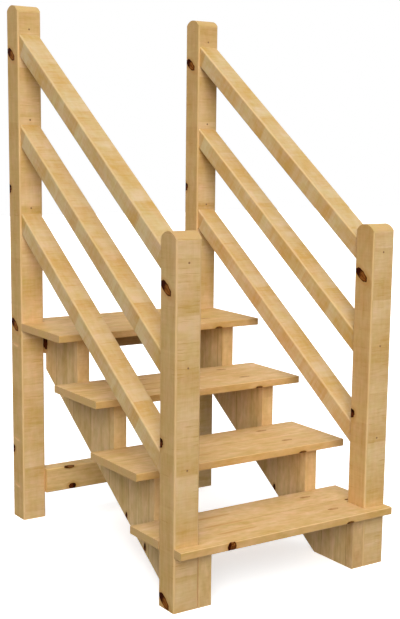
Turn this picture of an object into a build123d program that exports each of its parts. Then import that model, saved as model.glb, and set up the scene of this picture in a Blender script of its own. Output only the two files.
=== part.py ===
"""Free-standing wooden deck stairs: four open treads on two saw-tooth stringers, between two pairs of
posts with three sloping rails on each side.

X runs to the right as seen by someone about to climb, Y runs from the front to the back, where the deck
is, and Z runs up from the floor. While the pieces are made, Y is 0 at the front faces of the front posts.
The finished stairs are moved so that the origin lies on the floor, in the middle of their outline.
"""

from build123d import *
import os
from math import atan2, cos, degrees

os.makedirs("parts", exist_ok=True)

# ---- Driving dimensions, in millimetres ----

# The flight
stair_width = 850  # over the outer faces of the posts, and the length of every tread
step_count = 4
rise = 181.5  # from the floor to the lowest seat of a stringer, and from each seat to the next
going = 268  # from one riser cut of a stringer to the next
nosing = 40  # how far a tread reaches in front of the riser cut below it
tread_thickness = 26
tread_edge_radius = 3  # the eased long edges of a tread
notch_clearance = 1  # between a post and the notch cut round it

# The posts
post_width = 90  # square section
post_edge_radius = 6  # the eased long edges of posts, rails and cross boards
post_top_radius = 28  # the rounding of a post's top, at its front and back
front_post_above_rail = 110  # from the top rail's line at the front face to the post's top
rear_post_above_rail = 101

# The stringers
stringer_thickness = 48
stringer_foot = 211  # the length that stands on the floor
stringer_edge_radius = 4  # the eased edges along the underside
stringer_end_gap = 15  # from a stringer's back end to the front faces of the rear posts

# The rails
rail_width = 77  # across the flight
rail_depth = 64  # square to its slope
top_rail_height = 1062  # the top rail's upper face, continued to the front faces of the front posts
rail_spacing = 316.5  # from one rail to the next, measured plumb

# The cross boards between the rear posts
cross_board_height = 92
cross_board_thickness = 64
lower_cross_board_height = 96  # from the floor to its underside

# ---- Sizes that follow ----

slope = rise / going
half_width = stair_width / 2
post_inner_x = half_width - post_width
rear_post_y = step_count * going
back_y = rear_post_y + post_width
stringer_end_y = rear_post_y - stringer_end_gap
front_post_height = top_rail_height + front_post_above_rail
rear_post_height = top_rail_height + slope * rear_post_y + rear_post_above_rail
upper_cross_board_height = step_count * rise - cross_board_height

# The move from the front posts' front faces to the middle of the outline
to_origin = Pos(0, (nosing - back_y) / 2, 0)


def save(name, solid):
    """Writes one piece, in its place in the finished stairs."""
    export_step(to_origin * solid, f"parts/{name}.step")


def extrude_across(outline, x_low, x_high):
    """A solid between two X planes from a closed outline of (Y, Z) points."""
    sketch = make_face(Polyline(*outline, close=True))
    return Pos(x_low, 0, 0) * extrude(Plane.YZ * sketch, x_high - x_low)


def eased_bar(width, depth, length):
    """A bar along Z with its four long edges rounded, standing on the origin."""
    return extrude(RectangleRounded(width, depth, post_edge_radius), length)


def post(side, front_y, height):
    """A square post on the floor, its top rounded over at the front and the back."""
    middle = Pos(side * (half_width - post_width / 2), front_y + post_width / 2, 0)
    side_view = Rectangle(post_width, height, align=(Align.CENTER, Align.MIN))
    side_view = fillet(side_view.vertices().group_by(Axis.Y)[-1], post_top_radius)
    arch = extrude(Plane.YZ * side_view, post_width / 2, both=True)
    return middle * (eased_bar(post_width, post_width, height) & arch)


def stringer(side):
    """A saw-tooth stringer inside the posts: seats for the treads above, a straight underside below."""
    teeth = [(0, 0)]
    for step in range(step_count):
        teeth += [(step * going, (step + 1) * rise), ((step + 1) * going, (step + 1) * rise)]
    teeth[-1] = (stringer_end_y, step_count * rise)
    underside = [(stringer_end_y, slope * (stringer_end_y - stringer_foot)), (stringer_foot, 0)]
    inner_x = post_inner_x - stringer_thickness
    x_low = inner_x if side > 0 else -post_inner_x
    board = extrude_across(teeth + underside, x_low, x_low + stringer_thickness)
    middle_y = (stringer_foot + stringer_end_y) / 2
    near_underside = Vector(x_low + stringer_thickness / 2, middle_y, slope * (middle_y - stringer_foot))
    sloping = board.edges().filter_by(Axis((0, 0, 0), (0, going, rise)))
    return fillet(sloping.sort_by_distance(near_underside)[:2], stringer_edge_radius)


def tread(step):
    """A tread as long as the stairs are wide, notched round the posts where it meets them."""
    front_y = step * going - nosing
    end_y = back_y if step == step_count - 1 else (step + 1) * going
    seat_z = (step + 1) * rise
    board = Box(stair_width, end_y - front_y, tread_thickness, align=(Align.CENTER, Align.MIN, Align.MIN))
    board = fillet(board.edges().filter_by(Axis.X), tread_edge_radius)
    board = Pos(0, front_y, seat_z) * board
    notch_side = post_width + 2 * notch_clearance
    notch = Box(notch_side, notch_side, 3 * tread_thickness)
    for side in (-1, 1):
        for post_front_y in (0, rear_post_y):
            post_middle = Pos(side * (half_width - post_width / 2), post_front_y + post_width / 2, seat_z)
            board -= post_middle * notch
    return board


def rail(side, height):
    """A sloping rail between a front and a rear post, cut plumb at both ends; height is at Y = 0."""
    run = rear_post_y - post_width
    reach = rear_post_y + back_y
    bar = Pos(0, 0, -reach / 2) * eased_bar(rail_width, rail_depth, reach)
    bar = Rot(-degrees(atan2(going, rise)), 0, 0) * bar
    middle_y = (rear_post_y + post_width) / 2
    plumb_depth = rail_depth / cos(atan2(rise, going))
    middle_z = height + slope * middle_y - plumb_depth / 2
    trim = Box(2 * rail_width, run, 2 * reach)
    return Pos(side * (half_width - post_width / 2), middle_y, middle_z) * (bar & trim)


def cross_board(height):
    """A board between the inner faces of the rear posts, its underside at the given height."""
    section = RectangleRounded(cross_board_thickness, cross_board_height, post_edge_radius)
    board = extrude(Plane.YZ * section, post_inner_x, both=True)
    return Pos(0, stringer_end_y + cross_board_thickness / 2, height + cross_board_height / 2) * board


for side_name, side in (("left", -1), ("right", 1)):
    save(f"front_post_{side_name}", post(side, 0, front_post_height))
    save(f"rear_post_{side_name}", post(side, rear_post_y, rear_post_height))
    save(f"stringer_{side_name}", stringer(side))
    for place, rail_name in enumerate(("top_rail", "middle_rail", "bottom_rail")):
        save(f"{rail_name}_{side_name}", rail(side, top_rail_height - place * rail_spacing))

for step in range(step_count):
    save(f"tread_{step + 1}", tread(step))

save("upper_cross_board", cross_board(upper_cross_board_height))
save("lower_cross_board", cross_board(lower_cross_board_height))
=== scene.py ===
"""Wooden deck stairs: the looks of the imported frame, in metres, in the frame's own axes."""

import math
import random

import bmesh
import bpy
from mathutils import Matrix, Vector


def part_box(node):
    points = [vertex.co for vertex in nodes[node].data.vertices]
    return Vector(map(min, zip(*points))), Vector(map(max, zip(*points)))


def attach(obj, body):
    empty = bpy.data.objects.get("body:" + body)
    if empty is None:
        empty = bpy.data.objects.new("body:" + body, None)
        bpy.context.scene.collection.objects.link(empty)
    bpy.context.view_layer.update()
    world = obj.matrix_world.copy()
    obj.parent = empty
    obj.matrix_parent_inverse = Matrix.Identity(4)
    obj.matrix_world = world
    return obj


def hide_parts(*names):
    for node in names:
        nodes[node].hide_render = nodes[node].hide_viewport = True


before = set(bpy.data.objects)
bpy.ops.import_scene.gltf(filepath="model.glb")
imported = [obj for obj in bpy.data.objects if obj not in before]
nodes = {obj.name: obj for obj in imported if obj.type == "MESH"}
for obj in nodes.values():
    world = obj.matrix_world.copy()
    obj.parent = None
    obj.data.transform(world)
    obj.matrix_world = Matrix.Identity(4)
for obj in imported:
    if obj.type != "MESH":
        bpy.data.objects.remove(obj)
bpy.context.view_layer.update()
scene = bpy.context.scene
scene.view_settings.view_transform = "Standard"


# ---------------------------------------------------------------- camera
# A viewer stands in front of the stairs, to the left, with the eye between the heights of the front and
# the rear posts, and looks slightly down. The lens is long, and the frame is shifted a little, not turned.

# The place is in metres, and the angles are in radians.
camera_place = Vector((-2.2681, -3.5274, 1.4650))
camera_heading = 0.6328
camera_pitch = 0.1686
camera_roll = 0.0212

forward_level = Vector((math.sin(camera_heading), math.cos(camera_heading), 0))
right_level = Vector((math.cos(camera_heading), -math.sin(camera_heading), 0))
up_level = Vector((0, 0, 1))
forward = forward_level * math.cos(camera_pitch) - up_level * math.sin(camera_pitch)
up_pitched = up_level * math.cos(camera_pitch) + forward_level * math.sin(camera_pitch)
right = right_level * math.cos(camera_roll) + up_pitched * math.sin(camera_roll)
up = up_pitched * math.cos(camera_roll) - right_level * math.sin(camera_roll)

camera_data = bpy.data.cameras.new("camera")
camera_data.sensor_width = 36
camera_data.lens = 69.735
camera_data.shift_x = -0.1077
camera_data.shift_y = 0.0430
camera = bpy.data.objects.new("camera", camera_data)
camera.matrix_world = Matrix.LocRotScale(
    camera_place, Matrix((right, up, -forward)).transposed().to_quaternion(), None
)
scene.collection.objects.link(camera)
scene.camera = camera


# ---------------------------------------------------------------- floor and light
# A wide matt white studio floor. The camera sees it glow a little, so that it ends as plain white, and it
# keeps the stairs' soft shadow. Three wide lamps stand at the front left, one over another, and there is
# one each overhead, at the right and low behind.

def linear(colour):
    """An sRGB hex colour as linear red, green, blue and alpha."""
    shares = [int(colour[i:i + 2], 16) / 255 for i in (1, 3, 5)]
    return [s / 12.92 if s <= 0.04045 else ((s + 0.055) / 1.055) ** 2.4 for s in shares] + [1]


def clear_nodes(owner):
    """The node tree of a material or world, emptied."""
    owner.use_nodes = True
    owner.node_tree.nodes.clear()
    return owner.node_tree


def add_node(tree, kind, *inputs, named=None, out=0, **settings):
    """Adds a node with its settings, gives its inputs, in order or by name, their values or links, and
    returns one of its outputs if it has any."""
    node = tree.nodes.new("ShaderNode" + kind)
    for name, value in settings.items():
        setattr(node, name, value)
    for name, value in [*enumerate(inputs), *(named or {}).items()]:
        if isinstance(value, bpy.types.NodeSocket):
            tree.links.new(value, node.inputs[name])
        else:
            node.inputs[name].default_value = value
    return node.outputs[out] if node.outputs else None


def as_seen(tree, unseen, seen):
    """Mixes two shaders: seen is what is looked at, straight, in a gloss or through glass, and unseen is
    what throws light on the stairs."""
    path = add_node(tree, "LightPath").node.outputs
    looked_at = add_node(tree, "Math", path["Is Camera Ray"], path["Is Glossy Ray"], operation="MAXIMUM")
    looked_at = add_node(tree, "Math", looked_at, path["Is Transmission Ray"], operation="MAXIMUM")
    return add_node(tree, "MixShader", looked_at, unseen, seen)


def add_object(name, form):
    """Puts the mesh that form holds into the scene as an object, and frees form."""
    mesh = bpy.data.meshes.new(name)
    form.to_mesh(mesh)
    form.free()
    shown = bpy.data.objects.new(name, mesh)
    scene.collection.objects.link(shown)
    return shown


floor_reach = 15
floor_form = bmesh.new()
bmesh.ops.create_grid(floor_form, x_segments=1, y_segments=1, size=floor_reach)
floor = add_object("floor", floor_form)

# Matt white floor paint: chalky, with no gloss. What the stairs get back from it is as if it were duller,
# which keeps their undersides in shade.
floor_paint = bpy.data.materials.new("matt white studio floor")
tree = clear_nodes(floor_paint)
dull = add_node(tree, "BsdfDiffuse", linear("#5E5C59"))
bright = add_node(tree, "BsdfDiffuse", linear("#FFFFFF"))
glow = add_node(tree, "Emission", linear("#FFFFFF"), 0.55)
lit = add_node(tree, "AddShader", bright, glow)
add_node(tree, "OutputMaterial", as_seen(tree, dull, lit))
floor.data.materials.append(floor_paint)

world = bpy.data.worlds.new("white studio")
scene.world = world
tree = clear_nodes(world)
ambient = add_node(tree, "Background", linear("#FFFFFF"), 0.01)
white = add_node(tree, "Background", linear("#FFFFFF"), 1.0)
add_node(tree, "OutputWorld", as_seen(tree, ambient, white))


def lamp(name, azimuth, elevation, spread, share):
    """A far, wide soft lamp. Its azimuth runs from the front to the left, in degrees like its elevation and
    spread, and a share of 1 from straight ahead lights white as white."""
    a, e = math.radians(azimuth), math.radians(elevation)
    towards = Vector((-math.sin(a) * math.cos(e), -math.cos(a) * math.cos(e), math.sin(e)))
    data = bpy.data.lights.new(name, "SUN")
    data.angle = math.radians(spread)
    data.energy = math.pi * share
    light = bpy.data.objects.new(name, data)
    light.rotation_mode = "QUATERNION"
    light.rotation_quaternion = towards.to_track_quat("Z", "Y")
    scene.collection.objects.link(light)


lamp("key", azimuth=31, elevation=29, spread=38, share=0.57)
lamp("low key", azimuth=32, elevation=10, spread=50, share=0.30)
lamp("high key", azimuth=45, elevation=58, spread=50, share=0.24)
lamp("overhead", azimuth=0, elevation=88, spread=60, share=0.37)
lamp("right", azimuth=-90, elevation=38, spread=70, share=0.25)
lamp("back", azimuth=-173, elevation=12, spread=34, share=0.34)


# ---------------------------------------------------------------- posts
# Four square posts of slow-grown spruce, planed on all sides, with eased long edges and a top that one
# wide arc rounds from front to back. Broad pale and golden bands of figure cross the front faces, and the
# sides show the grain lengthwise, with red and black knots.

def new_group(name, inputs):
    """An empty node group with these inputs, and the outputs of its input node."""
    group = bpy.data.node_groups.new(name, "ShaderNodeTree")
    for socket, kind in inputs.items():
        group.interface.new_socket(socket, in_out="INPUT", socket_type="NodeSocket" + kind)
    return group, group.nodes.new("NodeGroupInput").outputs


def end_group(group, results):
    """Gives the group an output for each result."""
    leave = group.nodes.new("NodeGroupOutput")
    for name, value in results.items():
        kind = {"RGBA": "Color", "VECTOR": "Vector", "VALUE": "Float"}[value.type]
        group.interface.new_socket(name, in_out="OUTPUT", socket_type="NodeSocket" + kind)
        group.links.new(value, leave.inputs[name])


def drawn_noise(tree, place, piece, length, width, detail):
    """Noise drawn out along the grain, with spots about so long and wide, in millimetres, less its mean."""
    drawn = add_node(tree, "VectorMath", place, (1 / length, 1 / width, 1 / width), operation="MULTIPLY")
    noise = add_node(tree, "TexNoise", noise_dimensions="4D",
                     named={"Vector": drawn, "W": piece, "Scale": 1, "Detail": detail, "Roughness": 0.55})
    return add_node(tree, "Math", noise, 0.5, operation="SUBTRACT")


smooth = {"interpolation_type": "SMOOTHSTEP"}
no_tint = (1, 1, 1, 1)


def softwood_group():
    """Planed spruce or pine: pale, with golden grain and the soft dull sheen that a planer's knives leave.
    Place is in millimetres, with x along the grain, and Facing is the face's normal. A front, square to y,
    shows bands of figure, and a side, square to z, shows streaks along it and the figure that Side Figure
    gives it. On each, a round of bands begins at its Start and is as long as its Run, negative to run back.
    The tints multiply the colours of fronts, sides and ends. Coarse widens the fibres and Mottle strengthens
    the clouds. Boards of width Stave are glued side by side along y, from Stave Start on, and Width is the
    extent along z, negative where the piece lies below its corner. Piece sets where the patterns are read."""
    group, given = new_group("planed softwood", {
        "Place": "Vector", "Facing": "Vector", "Pale": "Color", "Deep": "Color",
        "Front Shading": "Color", "Side Shading": "Color", "End Shading": "Color",
        "Streaks": "Float", "Figure": "Float", "Side Figure": "Float",
        "Figure Start": "Float", "Figure Run": "Float", "Side Start": "Float", "Side Run": "Float",
        "Coarse": "Float", "Mottle": "Float", "Width": "Float",
        "Stave": "Float", "Stave Start": "Float", "Piece": "Float",
    })
    piece = given["Piece"]
    place = add_node(group, "SeparateXYZ", given["Place"]).node.outputs
    facing = add_node(group, "VectorMath", given["Facing"], operation="ABSOLUTE")
    facing = add_node(group, "SeparateXYZ", facing).node.outputs

    # What a face shows depends on which way it faces: 1 where it is square to the axis, 0 elsewhere.
    endwise, crosswise, lengthwise = (
        add_node(group, "MapRange", facing[axis], 0.55, 0.80, 0, 1, **smooth) for axis in "XYZ"
    )

    # Each stave has its own tone, hue and heart, and the glued joint beside it is a thin dark line.
    staves = add_node(group, "Math", place["Y"], given["Stave Start"], operation="SUBTRACT")
    staves = add_node(group, "Math", staves, given["Stave"], operation="DIVIDE")
    stave = add_node(group, "Math", staves, operation="FLOOR")
    stave = add_node(group, "CombineXYZ", stave, piece, 0)
    stave = add_node(group, "TexWhiteNoise", stave, noise_dimensions="2D", out="Color")
    stave = add_node(group, "VectorMath", stave, (0.5, 0.5, 0.5), operation="SUBTRACT")
    stave = add_node(group, "SeparateXYZ", stave).node.outputs
    from_joint = add_node(group, "Math", staves, 1, operation="PINGPONG")
    from_joint = add_node(group, "Math", from_joint, given["Stave"], operation="MULTIPLY")
    joint = add_node(group, "MapRange", from_joint, 0.8, 2.4, 1, 0, **smooth)

    # Single fibres are too fine to show, so they are drawn as strands 3 mm wide, in bundles 13 mm wide, with
    # short dark streaks where the clouds of colour gather them.
    thickness = add_node(group, "CombineXYZ", 1, given["Coarse"], given["Coarse"])
    thinned = add_node(group, "VectorMath", given["Place"], thickness, operation="DIVIDE")
    fibre = drawn_noise(group, thinned, piece, 160, 3, 4)
    bundle = drawn_noise(group, thinned, piece, 520, 13, 2)
    cloud = drawn_noise(group, given["Place"], piece, 120, 55, 2)
    mottle = drawn_noise(group, given["Place"], piece, 34, 17, 3)
    streak = drawn_noise(group, given["Place"], piece, 85, 2.6, 2)
    streak = add_node(group, "MapRange", streak, 0.09, 0.24, 0, 1, **smooth)
    gathered = add_node(group, "MapRange", cloud, -0.06, 0.10, 0.15, 1, **smooth)
    streak = add_node(group, "Math", streak, gathered, operation="MULTIPLY")

    # Growth rings round a pith beside the piece, which wanders along it and differs from stave to stave. The
    # late wood of each ring is a thin dark line. Rings as close as real ones, 1 or 2 mm, are too fine to
    # show, so they are drawn wider apart.
    ring_spacing = 5.5
    pith = (0, 46, 118)
    wander = drawn_noise(group, given["Place"], piece, 420, 60, 1)
    ring_y = add_node(group, "Math", wander, 26, place["Y"], operation="MULTIPLY_ADD")
    ring_y = add_node(group, "Math", stave["X"], 60, ring_y, operation="MULTIPLY_ADD")
    ring_z = add_node(group, "Math", wander, 34, place["Z"], operation="MULTIPLY_ADD")
    ring_z = add_node(group, "Math", stave["Y"], 90, ring_z, operation="MULTIPLY_ADD")
    across = add_node(group, "CombineXYZ", 0, ring_y, ring_z)
    from_pith = add_node(group, "VectorMath", across, pith, operation="SUBTRACT")
    radius = add_node(group, "VectorMath", from_pith, operation="LENGTH", out="Value")
    ring = add_node(group, "Math", radius, ring_spacing, operation="DIVIDE")
    ring = add_node(group, "Math", ring, operation="FRACT")
    darkening = add_node(group, "MapRange", ring, 0.35, 0.90, 0, 1, **smooth)
    ending = add_node(group, "MapRange", ring, 0.93, 1.0, 1, 0, **smooth)
    late = add_node(group, "Math", darkening, ending, -0.3, operation="MULTIPLY_ADD")

    # Figure: a round of pale and golden bands across the grain, with two crisp edges. A stop is a share of
    # the round and a tone.
    band_stops = (
        (0.0, -0.08), (0.02, -0.05), (0.08, 0.38), (0.13, 0.26), (0.175, 0.0), (0.24, -0.16), (0.272, -0.44),
        (0.348, -0.50), (0.355, 0.44), (0.41, 0.60), (0.46, 0.46), (0.50, 0.10), (0.52, -0.12), (0.54, 0.06),
        (0.58, 0.0), (0.63, -0.24), (0.66, -0.22), (0.70, -0.52), (0.79, -0.40), (0.85, -0.05), (0.873, 0.0),
        (0.883, -0.30), (0.893, 0.02), (0.925, 0.06), (0.95, 0.36), (1.0, 0.50),
    )
    wavering = drawn_noise(group, given["Place"], piece, 60, 24, 2)
    level = add_node(group, "Math", wavering, 6, place["X"], operation="MULTIPLY_ADD")
    shares = []
    for start, run in (("Figure Start", "Figure Run"), ("Side Start", "Side Run")):
        share = add_node(group, "Math", level, given[start], operation="SUBTRACT")
        share = add_node(group, "Math", share, given[run], operation="DIVIDE")
        shares.append(add_node(group, "Math", share, operation="FRACT"))
    front_share, side_share = shares
    change = add_node(group, "Math", side_share, front_share, operation="SUBTRACT")
    share = add_node(group, "Math", change, lengthwise, front_share, operation="MULTIPLY_ADD")
    bands = add_node(group, "ValToRGB", share)
    stops = bands.node.color_ramp.elements
    for share, tone in band_stops:
        stop = stops[0] if share == 0 else stops[-1] if share == 1 else stops.new(share)
        stop.color = [0.5 + tone / 2] * 3 + [1]
    figure = add_node(group, "Math", bands, 2, -1, operation="MULTIPLY_ADD")

    # Ripples in the figure, each kind with its length along the grain, width, detail and strength, and thin
    # dark lines across the grain, in places.
    ripples = ((85, 400, 1, 0.3), (5.5, 60, 2, 1.2), (9, 110, 3, 1.2), (26, 90, 3, 0.8))
    level_place = add_node(group, "CombineXYZ", level, place["Y"], place["Z"])
    for length, width, detail, strength in ripples:
        ripple = drawn_noise(group, level_place, piece, length, width, detail)
        figure = add_node(group, "Math", ripple, strength, figure, operation="MULTIPLY_ADD")
    line = drawn_noise(group, level_place, piece, 3.4, 130, 2)
    line = add_node(group, "MapRange", line, 0.08, 0.20, 0, -1.7, **smooth)
    where = drawn_noise(group, level_place, piece, 60, 60, 1)
    where = add_node(group, "MapRange", where, -0.04, 0.12, 0, 1, **smooth)
    figure = add_node(group, "Math", line, where, figure, operation="MULTIPLY_ADD")

    # On a front, the figure fades out in the last few millimetres before its long edges.
    half_width = add_node(group, "Math", given["Width"], 0.5, operation="MULTIPLY")
    from_middle = add_node(group, "Math", place["Z"], half_width, operation="SUBTRACT")
    from_middle = add_node(group, "Math", from_middle, operation="ABSOLUTE")
    half_width = add_node(group, "Math", half_width, operation="ABSOLUTE")
    inset = add_node(group, "Math", half_width, from_middle, operation="SUBTRACT")
    inset = add_node(group, "MapRange", inset, 4, 9, 0, 1, **smooth)
    on_front = add_node(group, "Math", crosswise, inset, operation="MULTIPLY")
    on_front = add_node(group, "Math", on_front, given["Figure"], operation="MULTIPLY")
    on_side = add_node(group, "Math", lengthwise, given["Side Figure"], operation="MULTIPLY")
    banded = add_node(group, "Math", on_side, on_front, operation="ADD")

    # The tone, from deep at -0.5 to pale at 0.5.
    grain = add_node(group, "Math", fibre, 0.9, bundle, operation="MULTIPLY_ADD")
    grain = add_node(group, "Math", streak, -0.75, grain, operation="MULTIPLY_ADD")
    grain = add_node(group, "Math", late, -0.12, grain, operation="MULTIPLY_ADD")
    grain = add_node(group, "Math", grain, given["Streaks"], operation="MULTIPLY")
    strength = add_node(group, "MapRange", crosswise, 0, 1, 1, 0.35)
    grain = add_node(group, "Math", grain, strength, operation="MULTIPLY")
    tone = add_node(group, "Math", figure, banded, grain, operation="MULTIPLY_ADD")
    clouds = add_node(group, "Math", mottle, 0.9, cloud, operation="MULTIPLY_ADD")
    tone = add_node(group, "Math", clouds, given["Mottle"], tone, operation="MULTIPLY_ADD")
    tone = add_node(group, "Math", stave["X"], 0.3, tone, operation="MULTIPLY_ADD")
    opening = add_node(group, "MapRange", cloud, -0.15, 0.12, -0.3, -1.1)
    tone = add_node(group, "Math", joint, opening, tone, operation="MULTIPLY_ADD")
    end_tone = add_node(group, "Math", late, -0.45, -0.22, operation="MULTIPLY_ADD")
    change = add_node(group, "Math", end_tone, tone, operation="SUBTRACT")
    tone = add_node(group, "Math", change, endwise, tone, operation="MULTIPLY_ADD")
    share = add_node(group, "MapRange", tone, -0.5, 0.5, 0, 1, clamp=False)
    share = add_node(group, "Clamp", share, -0.35, 1.25)
    pale = add_node(group, "VectorMath", given["Pale"], given["Deep"], operation="SUBTRACT")
    colour = add_node(group, "VectorMath", pale, operation="SCALE", named={"Scale": share})
    colour = add_node(group, "VectorMath", colour, given["Deep"], operation="ADD")

    # The hue drifts between olive and a faint pink, in stripes along the grain or with the figure across it.
    drift = add_node(group, "Math", clouds, given["Mottle"], bundle, operation="MULTIPLY_ADD")
    drift = add_node(group, "Math", stave["Z"], 0.4, drift, operation="MULTIPLY_ADD")
    change = add_node(group, "Math", ripple, 1.6, operation="MULTIPLY")
    change = add_node(group, "Math", change, drift, operation="SUBTRACT")
    change = add_node(group, "Math", wavering, 0.7, change, operation="MULTIPLY_ADD")
    banded = add_node(group, "Clamp", banded, 0, 1)
    drift = add_node(group, "Math", change, banded, drift, operation="MULTIPLY_ADD")
    cooling = add_node(group, "Math", figure, -0.6, operation="MULTIPLY")
    drift = add_node(group, "Math", cooling, on_side, drift, operation="MULTIPLY_ADD")
    drift = add_node(group, "MapRange", drift, -0.5, 0.5, 0, 1)
    tint = add_node(group, "MixRGB", drift, (0.985, 1.0, 0.86, 1), (1.02, 0.99, 1.10, 1))
    colour = add_node(group, "VectorMath", colour, tint, operation="MULTIPLY")

    # A blush warms the wood in patches, and then come the tints of the fronts, the sides and the ends. These
    # are painted light and shade: each kind of face is made lighter or darker for the light that falls on
    # it. A face that leans only a little towards the end counts as one.
    blush = drawn_noise(group, given["Place"], piece, 60, 32, 3)
    blush = add_node(group, "MapRange", blush, -0.5, 0.5, 0, 1)
    tint = add_node(group, "MixRGB", blush, (0.946, 1.040, 1.0, 1), (1.054, 0.960, 1.0, 1))
    colour = add_node(group, "VectorMath", colour, tint, operation="MULTIPLY")
    tipped = add_node(group, "MapRange", facing["X"], 0.05, 0.45, 0, 1, **smooth)
    for share, tint in (
        (crosswise, given["Front Shading"]), (lengthwise, given["Side Shading"]), (tipped, given["End Shading"]),
    ):
        tint = add_node(group, "MixRGB", share, no_tint, tint)
        colour = add_node(group, "VectorMath", colour, tint, operation="MULTIPLY")

    # Eased edges are painted a little paler, a painted highlight where their rounding catches the light, but
    # not the ends.
    squarest = add_node(group, "Math", facing["X"], facing["Y"], operation="MAXIMUM")
    squarest = add_node(group, "Math", squarest, facing["Z"], operation="MAXIMUM")
    edge_highlight = add_node(group, "MapRange", squarest, 0.90, 0.985, 0.45, 0, **smooth)
    untipped = add_node(group, "Math", 1, tipped, operation="SUBTRACT")
    edge_highlight = add_node(group, "Math", edge_highlight, untipped, operation="MULTIPLY")
    colour = add_node(group, "MixRGB", edge_highlight, colour, given["Pale"])

    height = add_node(group, "Math", late, 0.4, fibre, operation="MULTIPLY_ADD")
    height = add_node(group, "Math", joint, -0.6, height, operation="MULTIPLY_ADD")
    roughness = add_node(group, "Math", height, 0.12, 0.62, operation="MULTIPLY_ADD")
    end_group(group, {"Colour": colour, "Height": height, "Roughness": roughness})
    return group


def knot_group():
    """One knot over the wood's colour. Spot is the place in the knot's own ellipse, whose rim is at length 1.
    The bark side, at negative x, is the darkest, and the heart has rings and a drying crack."""
    group, given = new_group("sound knot", {
        "Wood": "Color", "Gloss": "Float", "Spot": "Vector",
        "Heart": "Color", "Rim": "Color", "Bark": "Color", "Halo": "Color",
    })
    warp = add_node(group, "TexNoise", out="Color",
                    named={"Vector": given["Spot"], "Scale": 1.3, "Detail": 3})
    warp = add_node(group, "VectorMath", warp, (0.5, 0.5, 0.5), operation="SUBTRACT")
    warp = add_node(group, "VectorMath", warp, operation="SCALE", named={"Scale": 0.9})
    warped = add_node(group, "VectorMath", given["Spot"], warp, operation="ADD")
    distance = add_node(group, "VectorMath", warped, operation="LENGTH", out="Value")
    spot = add_node(group, "SeparateXYZ", warped).node.outputs

    rings = add_node(group, "Math", distance, 19, operation="MULTIPLY")
    rings = add_node(group, "Math", rings, operation="SINE")
    rings = add_node(group, "MapRange", rings, -1, 1, 0, 0.45)
    rim = add_node(group, "MapRange", distance, 0.55, 0.92, 0, 1, **smooth)
    rim = add_node(group, "Math", rim, rings, operation="MAXIMUM")
    knot = add_node(group, "MixRGB", rim, given["Heart"], given["Rim"])
    bark_side = add_node(group, "MapRange", spot["X"], 0.10, -0.40, 0, 1, **smooth)
    crack = add_node(group, "Math", spot["Y"], operation="ABSOLUTE")
    crack = add_node(group, "MapRange", crack, 0.02, 0.13, 0.75, 0, **smooth)
    bark_ring = add_node(group, "MapRange", distance, 0.74, 0.90, 0, 0.85, **smooth)
    dark = add_node(group, "Math", bark_side, crack, operation="MAXIMUM")
    dark = add_node(group, "Math", dark, bark_ring, operation="MAXIMUM")
    knot = add_node(group, "MixRGB", dark, knot, given["Bark"])

    inside = add_node(group, "MapRange", distance, 0.92, 1.06, 1, 0, **smooth)
    glow = add_node(group, "MapRange", distance, 1.0, 2.0, 0.6, 0, **smooth)
    wood = add_node(group, "MixRGB", glow, given["Wood"], given["Halo"])
    wood = add_node(group, "MixRGB", inside, wood, knot)
    gloss = add_node(group, "Math", inside, 0.9, operation="MULTIPLY")
    gloss = add_node(group, "Math", 1, gloss, operation="SUBTRACT")
    gloss = add_node(group, "Math", gloss, given["Gloss"], operation="MULTIPLY")
    end_group(group, {"Wood": wood, "Gloss": gloss})
    return group


def bend_group():
    """Moves the place at which the grain is read away from a knot's middle line, so that it runs round it."""
    group, given = new_group("grain round a knot", {"Place": "Vector", "Centre": "Vector", "Spot": "Vector"})
    distance = add_node(group, "VectorMath", given["Spot"], operation="LENGTH", out="Value")
    near = add_node(group, "MapRange", distance, 0.6, 3.0, 0.6, 0, **smooth)
    offset = add_node(group, "VectorMath", given["Place"], given["Centre"], operation="SUBTRACT")
    offset = add_node(group, "VectorMath", offset, (0, 1, 0), operation="MULTIPLY")
    offset = add_node(group, "VectorMath", offset, operation="SCALE", named={"Scale": near})
    bent = add_node(group, "VectorMath", given["Place"], offset, operation="SUBTRACT")
    end_group(group, {"Place": bent})
    return group


softwood = softwood_group()
knot_spot = knot_group()
grain_bend = bend_group()

# Knots: red from a live branch, black from a dead one with its bark and brown from a twig, and faint pale
# spots drawn the same way.
red_knot = {"Heart": "#9C5F2A", "Rim": "#703808", "Bark": "#340E02", "Halo": "#C79050"}
black_knot = {"Heart": "#5E2A10", "Rim": "#401604", "Bark": "#2A0D03", "Halo": "#B98445"}
brown_knot = {"Heart": "#8A5A2C", "Rim": "#6E4420", "Bark": "#50300F", "Halo": "#C0914F"}
pale_spot = {"Heart": "#EFCB94", "Rim": "#E6BD84", "Bark": "#E0B277", "Halo": "#D9B27C"}

# A planed face has little gloss, and its grain stands up a little. Each piece reads the patterns a step
# further on, so that no two look alike.
millimetre = 0.001
wood_gloss = 0.12
grain_height = 0.3 * millimetre
pattern_step = 7.3

# The wood's inputs where a piece names no other: untinted, without figure, and all of one stave.
plain = {
    "Front Shading": "#FFFFFF", "Side Shading": "#FFFFFF", "End Shading": "#FFFFFF",
    "Streaks": 0.5, "Figure": 0.0, "Side Figure": 0.0,
    "Figure Start": 0.0, "Figure Run": 490.0, "Side Start": 0.0, "Side Run": -490.0,
    "Coarse": 1.0, "Mottle": 0.8, "Stave": 1000.0, "Stave Start": -500.0,
}


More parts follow.
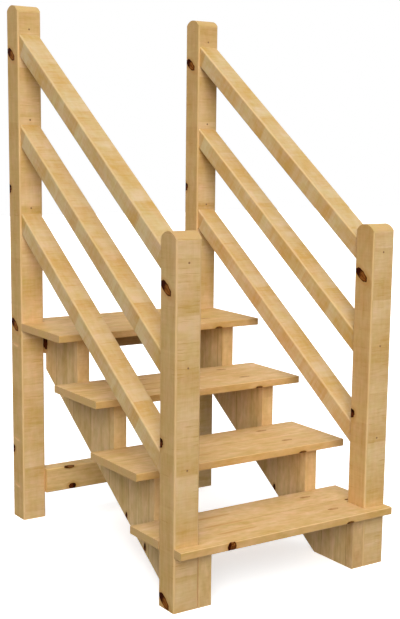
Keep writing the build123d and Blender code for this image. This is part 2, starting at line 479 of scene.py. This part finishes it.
def dress(piece, name, corner, along, across, look, knots=(), shown=None):
    """Gives a piece, or shown in its place, its wood. corner is where its grain starts, in metres, and along
    and across are the directions of its own x and y. look has the wood's inputs that differ from the plain
    ones, and a knot is its centre, turn about z in degrees, half sizes and colours."""
    finish = bpy.data.materials.new(name)
    tree = clear_nodes(finish)
    axes = Matrix((along, across, along.cross(across))).transposed().to_euler()
    units = (millimetre,) * 3
    source = add_node(tree, "TexCoord").node.outputs
    place = add_node(tree, "Mapping", source["Object"], corner, axes, units, vector_type="TEXTURE")
    facing = add_node(tree, "Mapping", source["Normal"], (0, 0, 0), axes, (1, 1, 1), vector_type="TEXTURE")
    read_at = place
    spots = []
    for centre, turn, half_sizes, colours in knots:
        turned = (0, 0, math.radians(turn))
        spot = add_node(tree, "Mapping", place, centre, turned, half_sizes, vector_type="TEXTURE")
        spots.append((spot, colours))
        read_at = add_node(tree, "Group", node_tree=grain_bend,
                           named={"Place": read_at, "Centre": centre, "Spot": spot})
    inputs = {
        part: linear(value) if isinstance(value, str) else value for part, value in (plain | look).items()
    }
    own_pattern = sorted(nodes).index(piece) * pattern_step
    wood = add_node(tree, "Group", node_tree=softwood, named={
        "Place": read_at, "Facing": facing, "Piece": own_pattern, **inputs,
    }).node.outputs
    colour, gloss = wood["Colour"], wood_gloss
    for spot, colours in spots:
        shades = {part: linear(shade) for part, shade in colours.items()}
        knot = add_node(tree, "Group", node_tree=knot_spot,
                        named={"Wood": colour, "Gloss": gloss, "Spot": spot, **shades}).node.outputs
        colour, gloss = knot["Wood"], knot["Gloss"]
    bump = add_node(tree, "Bump", named={
        "Height": wood["Height"], "Strength": 0.5, "Distance": grain_height,
    })
    shader = add_node(tree, "BsdfPrincipled", named={
        "Base Color": colour, "Roughness": wood["Roughness"], "Specular IOR Level": gloss, "Normal": bump,
    })
    add_node(tree, "OutputMaterial", shader)
    (shown or nodes[piece]).material_slots[0].material = finish


def domed_post(piece, dome=25 * millimetre, ease=6 * millimetre, shoulder=3 * millimetre, rows=48):
    """A post in the place of its node, with eased long edges and a top that one wide arc rounds from its
    front to its back, with eased shoulders. It is built of rows across its depth."""
    low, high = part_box(piece)
    half = (high.y - low.y) / 2
    middle = (low + high) / 2
    radius = (half ** 2 + dome ** 2) / (2 * dome)
    form = bmesh.new()
    lines = []
    for row in range(rows + 1):
        depth = half * math.sin(math.pi * (row / rows - 0.5))
        into_edge = max(0, abs(depth) - half + ease)
        reach = half - ease + math.sqrt(max(0, ease ** 2 - into_edge ** 2))
        into_shoulder = max(0, abs(depth) - half + shoulder)
        top = high.z - radius + math.sqrt(radius ** 2 - depth ** 2)
        top -= shoulder - math.sqrt(max(0, shoulder ** 2 - into_shoulder ** 2))
        lines.append([
            form.verts.new((middle.x + side * reach, middle.y + depth, height))
            for side, height in ((-1, low.z), (-1, top), (1, top), (1, low.z))
        ])
    for near, far in zip(lines, lines[1:]):
        for corner in range(3):
            form.faces.new((near[corner], near[corner + 1], far[corner + 1], far[corner]))
    foot = [line[0] for line in lines] + [line[3] for line in lines[::-1]]
    flat = [form.faces.new(outline) for outline in (lines[0][::-1], lines[-1], foot)]
    for face in form.faces:
        face.smooth = face not in flat
    shown = add_object(piece + "_domed", form)
    shown.data.set_sharp_from_angle(angle=math.radians(40))
    shown.data.materials.append(None)
    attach(shown, "root")
    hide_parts(piece)
    return shown


x_axis, y_axis, z_axis = Vector((1, 0, 0)), Vector((0, 1, 0)), Vector((0, 0, 1))

# Branches grow in whorls, so the same red and black knots come again further down a post. The rear left
# post also has three faint pale spots on its side.
whorl_spacing = 978
post_knots = []
for whorl in (0, whorl_spacing):
    post_knots.append(((whorl + 170, 56, 0), -56, (35, 15, 34), red_knot))
    post_knots.append(((whorl + 648, 86, 0), 0, (17, 18, 40), black_knot))
pale_spots = [((down, 50, 0), 6, (8, 24, 12), pale_spot) for down in (1223, 1583, 1764)]

post_size = 90
post_figure = {
    "front": {"Figure Start": 77.0, "Figure Run": 490.0, "Side Start": 355.0},
    "rear": {"Figure Start": 390.0, "Figure Run": -490.0, "Side Start": 92.0},
}
# Each post's pale and deep, and its front and side shadings. These are partly its own tone and partly painted
# light and shade for the light on each face: the rear left post is painted paler, and the end shading dims
# the domed top as painted shade.
post_woods = {
    "front_post_left": ("#DAB684", "#CAA266", "#FCFFFF", "#FFFFF2"),
    "front_post_right": ("#DEBD8A", "#CEA76B", "#FAFAFB", "#FFFAF1"),
    "rear_post_left": ("#E1BE8C", "#D0AA6D", "#FFFFFF", "#F6F2E1"),
    "rear_post_right": ("#DAB885", "#CAA366", "#FFFFFF", "#FEFBEC"),
}
for piece, (pale, deep, front_shading, side_shading) in post_woods.items():
    low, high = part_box(piece)
    shown = domed_post(piece)
    end = piece.split("_")[0]
    knots = post_knots + pale_spots if piece == "rear_post_left" else post_knots
    dress(piece, "planed spruce, " + piece.replace("_", " "), (low.x, low.y, high.z), -z_axis, y_axis, {
        "Pale": pale, "Deep": deep, "Front Shading": front_shading, "Side Shading": side_shading, "End Shading": "#EFF1EE",
        "Streaks": 1.0, "Mottle": 1.1, "Figure": 0.9, "Side Figure": 0.45, "Width": post_size,
        **post_figure[end],
    }, knots, shown)


# ---------------------------------------------------------------- screws
# Brown coated deck screws, three a face, driven through the front posts into the rails' ends, and into the
# rear posts just over the rails. Each head is flat, with a six-lobed drive, in a ring of bruised wood.

# The rings of a head, from the outside in: radius, height over the face and depth of the drive's lobes, in
# millimetres. The first two bands between them are the bruised wood.
head_rings = (
    (3.7, 0.03, 0), (3.2, 0.10, 0), (3.0, 0.05, 0), (2.9, 0.25, 0), (2.6, 0.40, 0),
    (1.5, 0.45, 0.25), (1.4, 0.15, 0.25), (0.5, 0.10, 0),
)
bruised_bands = 2
head_steps = 24
drive_lobes = 6


def screw_head(form, centre, outward, turn):
    """Adds a head 6 mm across and its bruised ring to form, on a face that looks outward."""
    turned = Matrix.Rotation(turn, 3, "Z")
    stand = outward.to_track_quat("Z", "Y").to_matrix() @ turned
    rings = []
    for radius, height, lobe in head_rings:
        ring = []
        for step in range(head_steps):
            angle = math.tau * step / head_steps
            reach = radius + lobe * math.cos(drive_lobes * angle)
            point = Vector((reach * math.cos(angle), reach * math.sin(angle), height)) * millimetre
            ring.append(form.verts.new(centre + stand @ point))
        rings.append(ring)
    for level, (outer, inner) in enumerate(zip(rings, rings[1:])):
        for step in range(head_steps):
            following = (step + 1) % head_steps
            face = form.faces.new((outer[step], outer[following], inner[following], inner[step]))
            face.material_index = 1 if level < bruised_bands else 0
            face.smooth = True
    form.faces.new(rings[-1])


# Steel under a baked brown coat: a satin brown, with paler specks 1 mm across where the driver rubbed it.
steel = bpy.data.materials.new("brown coated steel")
tree = clear_nodes(steel)
place = add_node(tree, "TexCoord", out="Object")
spots = add_node(tree, "TexNoise", named={"Vector": place, "Scale": 0.9 / millimetre, "Detail": 2})
coat = add_node(tree, "MixRGB", spots, linear("#6A4526"), linear("#9A7045"))
rough = add_node(tree, "MapRange", spots, 0, 1, 0.35, 0.55)
shader = add_node(tree, "BsdfPrincipled", named={"Base Color": coat, "Metallic": 0.3, "Roughness": rough})
add_node(tree, "OutputMaterial", shader)

# Spruce whose fibres a head has crushed: darker and rougher than the planed face, in flecks 1.4 mm across.
bruise = bpy.data.materials.new("bruised spruce")
tree = clear_nodes(bruise)
place = add_node(tree, "TexCoord", out="Object")
spots = add_node(tree, "TexNoise", named={"Vector": place, "Scale": 0.7 / millimetre, "Detail": 3})
wood = add_node(tree, "MixRGB", spots, linear("#A67B48"), linear("#C49A62"))
shader = add_node(tree, "BsdfPrincipled", named={
    "Base Color": wood, "Roughness": 0.8, "Specular IOR Level": 0.1,
})
add_node(tree, "OutputMaterial", shader)

# Millimetres from a post's top down to its first screw, and from each screw to the next.
screw_spacing = 316
turns = random.Random(4)
for end, first_screw in (("front", 91), ("rear", 83)):
    for side in ("left", "right"):
        low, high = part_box(f"{end}_post_{side}")
        middle = (low.x + high.x) / 2
        form = bmesh.new()
        faces = ((low.y, -y_axis),) if end == "front" else ((low.y, -y_axis), (high.y, y_axis))
        for level in range(3):
            height = high.z - (first_screw + screw_spacing * level) * millimetre
            for depth, outward in faces:
                screw_head(form, Vector((middle, depth, height)), outward, turns.uniform(0, 1))
        screws = add_object(f"screws_{end}_{side}", form)
        screws.data.materials.append(steel)
        screws.data.materials.append(bruise)
        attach(screws, "root")


# ---------------------------------------------------------------- rails
# Three sloping rails a side, planed spruce of the same stock, cut plumb against the posts and as steep as
# the steps. Their upper faces and their sides carry the same bands of figure as the posts' fronts.

first_tread, second_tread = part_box("tread_1")[0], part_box("tread_2")[0]
slope = (second_tread.z - first_tread.z) / (second_tread.y - first_tread.y)
uphill = Vector((0, 1, slope)).normalized()
rail_width = 77
# Each rail's pale and deep, front shading for its upper faces, and side shading. The right rails are painted
# paler than the left ones, and the upper faces darker than the sides: painted light and shade for the light
# on each face.
rail_woods = {
    "top_rail_left": ("#DFC192", "#D5AD6C", "#E3E4E0", "#FFFFFF"),
    "middle_rail_left": ("#DFC18F", "#D5AD6A", "#EAE6E4", "#FEFDFF"),
    "bottom_rail_left": ("#DFC18F", "#D5AD6A", "#EBE7E2", "#FFFEFF"),
    "top_rail_right": ("#E8C795", "#DFB470", "#D9DDDC", "#F8FBFF"),
    "middle_rail_right": ("#E8C798", "#DFB472", "#E2E3E1", "#F9FEFF"),
    "bottom_rail_right": ("#E4C292", "#DBB06D", "#E5E5E0", "#FCFCFE"),
}
for piece, (pale, deep, front_shading, side_shading) in rail_woods.items():
    low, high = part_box(piece)
    corner = (low.x, low.y, high.z - slope * (high.y - low.y))
    dress(piece, "planed spruce, " + piece.replace("_", " "), corner, uphill, x_axis.cross(uphill), {
        "Pale": pale, "Deep": deep, "Front Shading": front_shading, "Side Shading": side_shading,
        "Streaks": 0.7, "Mottle": 1.6, "Figure": 0.8, "Side Figure": 0.95,
        "Figure Start": 47.0, "Side Start": 329.0, "Width": rail_width,
    })


# ---------------------------------------------------------------- stringers
# Two saw-tooth stringers inside the posts, sawn from wide glued-up pine boards whose staves stand upright,
# then planed. A few small black knots show at their fronts and sides.

stringer_thickness = 48
stringer_knots = [
    ((552, 450, 24), 0, (14, 8, 60), black_knot),
    ((625, 326, 24), 0, (14, 7, 60), black_knot),
    ((52, 1056, 0), 0, (26, 13, 30), black_knot),
]
# The front shading dims the stringers' fronts a little: painted shade.
stringer_woods = {
    "left": ("#F4D49C", "#D2AB70", "#F0EFEF"),
    "right": ("#F2CF97", "#CFA66D", "#EBE8E5"),
}
for side, (pale, deep, front_shading) in stringer_woods.items():
    piece = f"stringer_{side}"
    low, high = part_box(piece)
    dress(piece, f"planed glued pine, {side} stringer", (low.x, low.y, high.z), -z_axis, y_axis, {
        "Pale": pale, "Deep": deep, "Front Shading": front_shading,
        "Streaks": 1.0, "Coarse": 2.2, "Mottle": 1.2, "Figure": 0.3,
        "Figure Start": 60.0, "Width": stringer_thickness, "Stave": 67.0, "Stave Start": 33.5,
    }, stringer_knots)


# ---------------------------------------------------------------- treads
# Four boards of glued pine, planed, with eased long edges, which lie on the stringers' teeth. The grain
# runs along them, with a few small knots, and with faint stains and smudges by the glued joints.

tread_thickness = 26
smudge = {"Heart": "#C49868", "Rim": "#BC905E", "Bark": "#B08452", "Halo": "#D2AB72"}
stain = {"Heart": "#CDA36A", "Rim": "#CBA168", "Bark": "#C89D64", "Halo": "#D4AD74"}
# Each tread's pale and deep, front shading and top shading. The front shading dims the fronts, and the top
# shading dims the top tread's upper face, which the rear posts and rails shade: painted shade.
tread_woods = {
    1: ("#E1BF8E", "#C8A268", "#F5ECD6", "#FFFFFF"),
    2: ("#DFBD87", "#C9A165", "#F8EFE1", "#FFFFFF"),
    3: ("#E4C28E", "#CCA368", "#F4EDD8", "#FFFFFF"),
    4: ("#E4BF8A", "#CAA064", "#F9F8F5", "#F0EEDB"),
}
for step, (pale, deep, front_shading, top_shading) in tread_woods.items():
    piece = f"tread_{step}"
    low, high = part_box(piece)
    tread_knots = [((265, joint, 0), 0, (80, 7, 12), stain) for joint in (83, 160, 238)]
    tread_knots += [((667, joint, 0), 0, (23, 8, 12), smudge) for joint in (93, 248)]
    tread_knots.append(((668, 0, -23), 0, (16, 5, 5), brown_knot))
    if step == 1:
        # A small dark brown mark just behind the right front post, drawn with a knot's colours.
        tread_knots.append(((775, 150, 0), 0, (9, 5, 10), brown_knot))
        tread_knots.append(((188, 0, -13), 0, (17, 4, 17), red_knot))
    dress(piece, f"planed glued pine, tread {step}", (low.x, low.y, high.z), x_axis, y_axis, {
        "Pale": pale, "Deep": deep, "Front Shading": front_shading, "Side Shading": top_shading, "Streaks": 0.7,
        "Mottle": 1.5, "Width": -tread_thickness, "Stave": 77.5, "Stave Start": 5.4,
    }, tread_knots)


# ---------------------------------------------------------------- cross boards
# Two thick planed spruce boards that hold the rear posts and the stringers' rear ends together, one right
# under the top tread and one near the floor. Their dark knots and marks are at the edges.

cross_board_thickness = 64
# A black mark, drawn as a knot, at the upper board's left end, between the rear post and the stringer.
upper_knots = [((0, 50, 0), 0, (14, 26, 30), black_knot)]
lower_knots = [((95, 2, 4), 0, (22, 8, 10), brown_knot), ((106, 80, 0), 180, (16, 11, 14), black_knot)]
# The upper board's side shading darkens its front and back: painted shade, where it lies under the top tread.
for place_name, side_shading, knots in (("upper", "#CFD1D5", upper_knots), ("lower", "#FCFCFB", lower_knots)):
    piece = f"{place_name}_cross_board"
    low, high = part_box(piece)
    dress(piece, f"planed spruce, {place_name} cross board", (low.x, low.y, high.z), x_axis, -z_axis, {
        "Pale": "#ECC98F", "Deep": "#CFA767", "Side Shading": side_shading, "Streaks": 1.2,
        "Mottle": 1.2, "Figure": 0.3, "Width": cross_board_thickness,
    }, knots)
